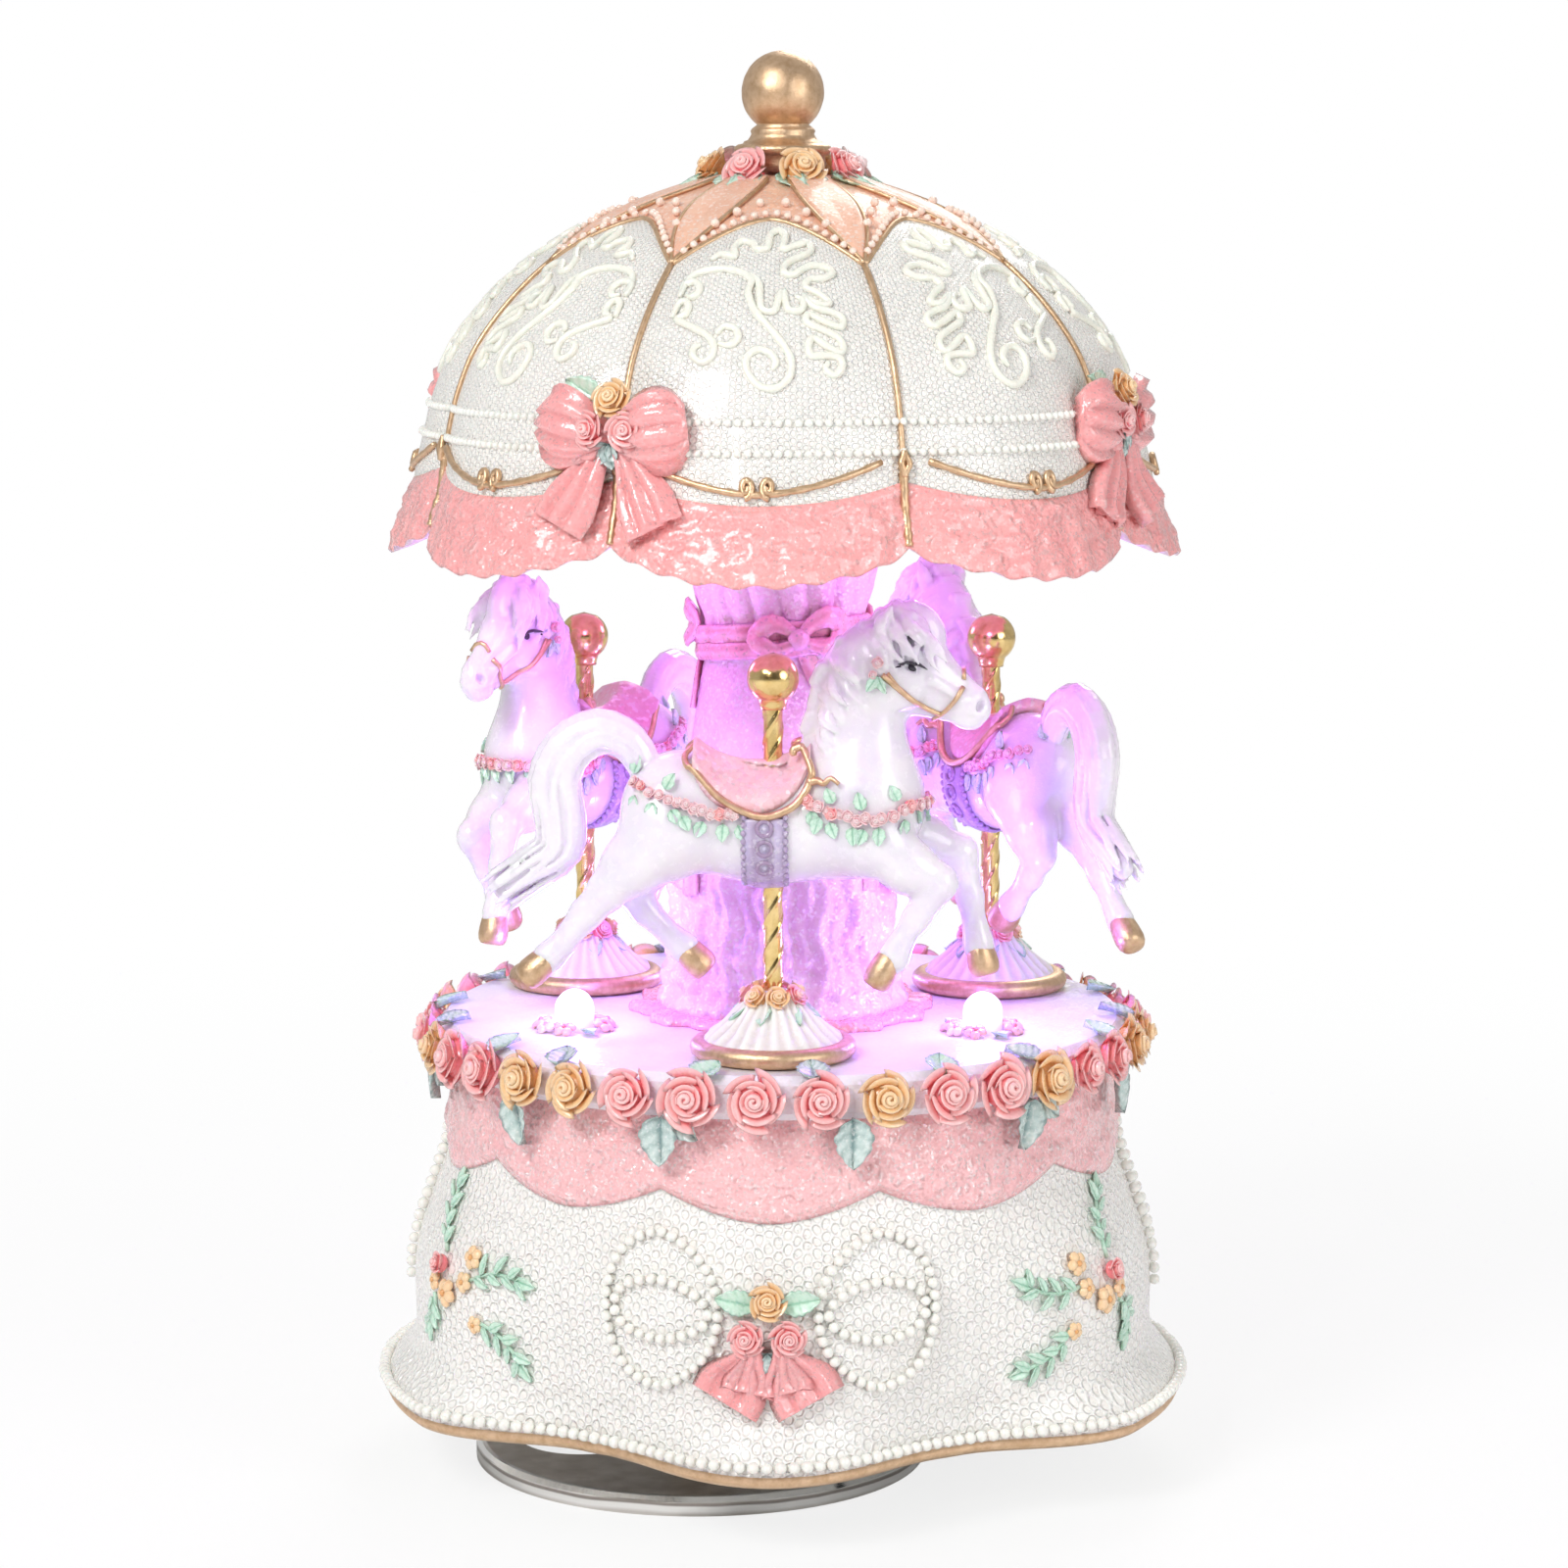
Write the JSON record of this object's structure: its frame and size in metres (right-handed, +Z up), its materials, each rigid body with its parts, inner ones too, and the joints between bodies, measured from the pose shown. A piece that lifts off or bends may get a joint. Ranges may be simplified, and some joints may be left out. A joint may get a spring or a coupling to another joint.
{
  "type": "carousel music box",
  "caption": "Wind-up carousel music box in pearl and pink cast resin: horses on gilt poles under a scalloped canopy, lit deck, turning on a metal disc.",
  "frame": {"origin": "on the carousel's own axis, at the level of the table that the winding disc stands on", "axes": "+Z up along the carousel's axis; -Y is the front, with the bow on the base; +X to the right seen from the front"},
  "size_m": [0.1044, 0.1016, 0.1824],
  "materials": {
    "nickel_steel": "nickel plated, finely brushed",
    "screw_steel": "bright",
    "movement_brass": "satin",
    "comb_steel": "ground",
    "pearl_resin": "cast resin, pearl white with fine glitter",
    "pink_resin": "cast resin, pink with fine glitter",
    "rose_resin": "cast resin, hand painted, glossy",
    "leaf_resin": "cast resin, hand painted, glossy",
    "gold_paint": "satin gold paint",
    "gold_plate": "polished, gold plated",
    "horse_resin": "translucent pearl white resin",
    "lamp_lens": "frosted and lit",
    "wire_insulation": "satin",
    "white_plastic": "moulded",
    "black_plastic": "moulded",
    "cell_steel": "nickel plated"
  },
  "bodies": {
    "stand": {"winding_disc": "nickel_steel", "disc_collar": "nickel_steel", "winding_arbor": "nickel_steel", "crown_gear": "movement_brass"},
    "carousel": {"cover_screws": "screw_steel", "bedplate_screws": "screw_steel", "comb_screws": "screw_steel", "door_screw": "screw_steel", "spring_barrel": "screw_steel", "mainspring": "screw_steel", "bedplate": "movement_brass", "comb_block": "movement_brass", "bearing_bracket": "movement_brass", "gear_bracket": "movement_brass", "governor_bracket": "movement_brass", "comb": "comb_steel", "base_shell": "pearl_resin", "deck": "pearl_resin", "canopy": "pearl_resin", "pedestal_1": "pearl_resin", "pedestal_2": "pearl_resin", "pedestal_3": "pearl_resin", "column": "pink_resin", "column_rug": "pink_resin", "column_bow": "pink_resin", "canopy_bows": "pink_resin", "lamp_collars": "pink_resin", "deck_roses": "rose_resin", "canopy_bow_roses": "rose_resin", "canopy_wreath": "rose_resin", "deck_leaves": "leaf_resin", "finial": "gold_paint", "pole_1": "gold_plate", "pole_2": "gold_plate", "pole_3": "gold_plate", "pole_ball_1": "gold_plate", "pole_ball_2": "gold_plate", "pole_ball_3": "gold_plate", "horse_1": "horse_resin", "horse_2": "horse_resin", "horse_3": "horse_resin", "lamp_1": "lamp_lens", "lamp_2": "lamp_lens", "lamp_3": "lamp_lens", "lamp_wires": "wire_insulation", "bottom_cover": "white_plastic", "battery_box": "white_plastic", "battery_door": "white_plastic", "switch_body": "black_plastic", "button_cells": "cell_steel"},
    "drum": {"note_drum": "movement_brass", "drum_axle": "screw_steel", "drum_pinion": "movement_brass", "drum_wheel": "movement_brass"},
    "governor_wheel": {"governor_arbor": "screw_steel", "worm_wheel": "movement_brass"},
    "governor": {"governor_worm": "screw_steel", "governor_fan": "black_plastic"},
    "switch": {"switch_knob": "black_plastic"}
  },
  "joints": [
    {"name": "carousel_spin", "type": "hinge", "parent": "stand", "child": "carousel", "pos_m": [-0.0108, -0.002, 0.01], "axis": [0, 0, 1], "continuous": true},
    {"name": "drum_spin", "type": "hinge", "parent": "carousel", "child": "drum", "pos_m": [-0.0108, -0.002, 0.0332], "axis": [0, 1, 0], "continuous": true},
    {"name": "governor_wheel_spin", "type": "hinge", "parent": "carousel", "child": "governor_wheel", "pos_m": [0.0017, 0.018, 0.0332], "axis": [0, 1, 0], "continuous": true},
    {"name": "governor_spin", "type": "hinge", "parent": "carousel", "child": "governor", "pos_m": [0.0097, 0.019, 0.0332], "axis": [0, 0, 1], "continuous": true},
    {"name": "switch_slide", "type": "slide", "parent": "carousel", "child": "switch", "axis": [1, 0, 0], "range_m": [0, 0.0022]}
  ],
  "couplings": [
    {"joint": "drum_spin", "follows": "carousel_spin", "ratio": 1.5},
    {"joint": "governor_wheel_spin", "follows": "carousel_spin", "ratio": -6},
    {"joint": "governor_spin", "follows": "carousel_spin", "ratio": -144}
  ]
}
